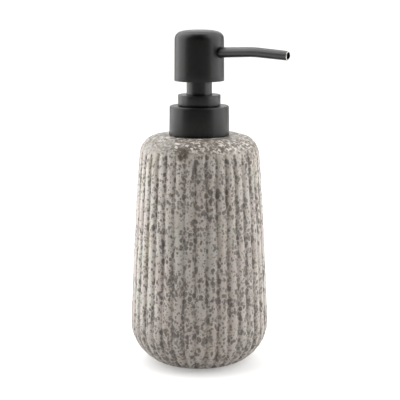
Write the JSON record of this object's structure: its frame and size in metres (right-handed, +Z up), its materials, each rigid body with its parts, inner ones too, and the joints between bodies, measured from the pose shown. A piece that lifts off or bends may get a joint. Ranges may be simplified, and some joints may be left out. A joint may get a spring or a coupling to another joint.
{
  "type": "soap pump dispenser",
  "caption": "Ribbed speckled stoneware bottle with a screw-on black pump: domed press head, slim bent spout, guide ring and threaded collar.",
  "frame": {"origin": "centre of the flat foot, on the bottle's axis", "axes": "+Z up along the bottle's axis, +X the way the spout points at rest, +Y across"},
  "size_m": [0.0906, 0.075, 0.1791],
  "materials": {
    "stoneware": "satin speckled glaze",
    "coated_metal": "matte black powder coat",
    "black_plastic": "fine moulded satin",
    "white_plastic": "moulded satin",
    "natural_plastic": "translucent natural",
    "soft_plastic": "soft satin",
    "steel": "drawn and polished"
  },
  "bodies": {
    "bottle": {"ceramic_bottle": "stoneware", "neck_insert": "black_plastic"},
    "pump_body": {"pump_housing": "white_plastic", "guide_ring": "black_plastic", "stem_seal": "soft_plastic", "neck_gasket": "soft_plastic", "ball_cage": "white_plastic", "dip_tube": "natural_plastic", "return_spring": "steel"},
    "inlet_valve": {"inlet_ball": "steel"},
    "collar": {"screw_cap": "black_plastic", "collar_shell": "coated_metal"},
    "plunger": {"plunger_stem": "white_plastic", "stem_tip": "white_plastic", "piston": "soft_plastic"},
    "outlet_valve": {"outlet_ball": "steel"},
    "head": {"actuator_core": "black_plastic", "head_shell": "coated_metal", "outlet_retainer": "white_plastic", "nozzle_tube": "coated_metal", "nozzle_liner": "black_plastic"}
  },
  "joints": [
    {"name": "pump_lift", "type": "slide", "parent": "bottle", "child": "pump_body", "axis": [0, 0, 1], "range_m": [0, 0.0076]},
    {"name": "collar_turn", "type": "hinge", "parent": "pump_body", "child": "collar", "pos_m": [0, 0, 0.131], "axis": [0, 0, 1], "range_deg": [0, 630]},
    {"name": "pump_press", "type": "slide", "parent": "pump_body", "child": "plunger", "axis": [0, 0, -1], "range_m": [0, 0.0115], "stiffness_N_per_m": 500, "springref_m": -0.01, "deforming": ["return_spring"]},
    {"name": "head_swivel", "type": "hinge", "parent": "plunger", "child": "head", "pos_m": [0, 0, 0.15], "axis": [0, 0, 1], "continuous": true},
    {"name": "inlet_lift", "type": "slide", "parent": "pump_body", "child": "inlet_valve", "axis": [0, 0, 1], "range_m": [0, 0.0015]},
    {"name": "outlet_lift", "type": "slide", "parent": "plunger", "child": "outlet_valve", "axis": [0, 0, 1], "range_m": [0, 0.0015]}
  ],
  "couplings": [
    {"joint": "pump_lift", "follows": "collar_turn", "m_per_rad": 0.0006737}
  ]
}
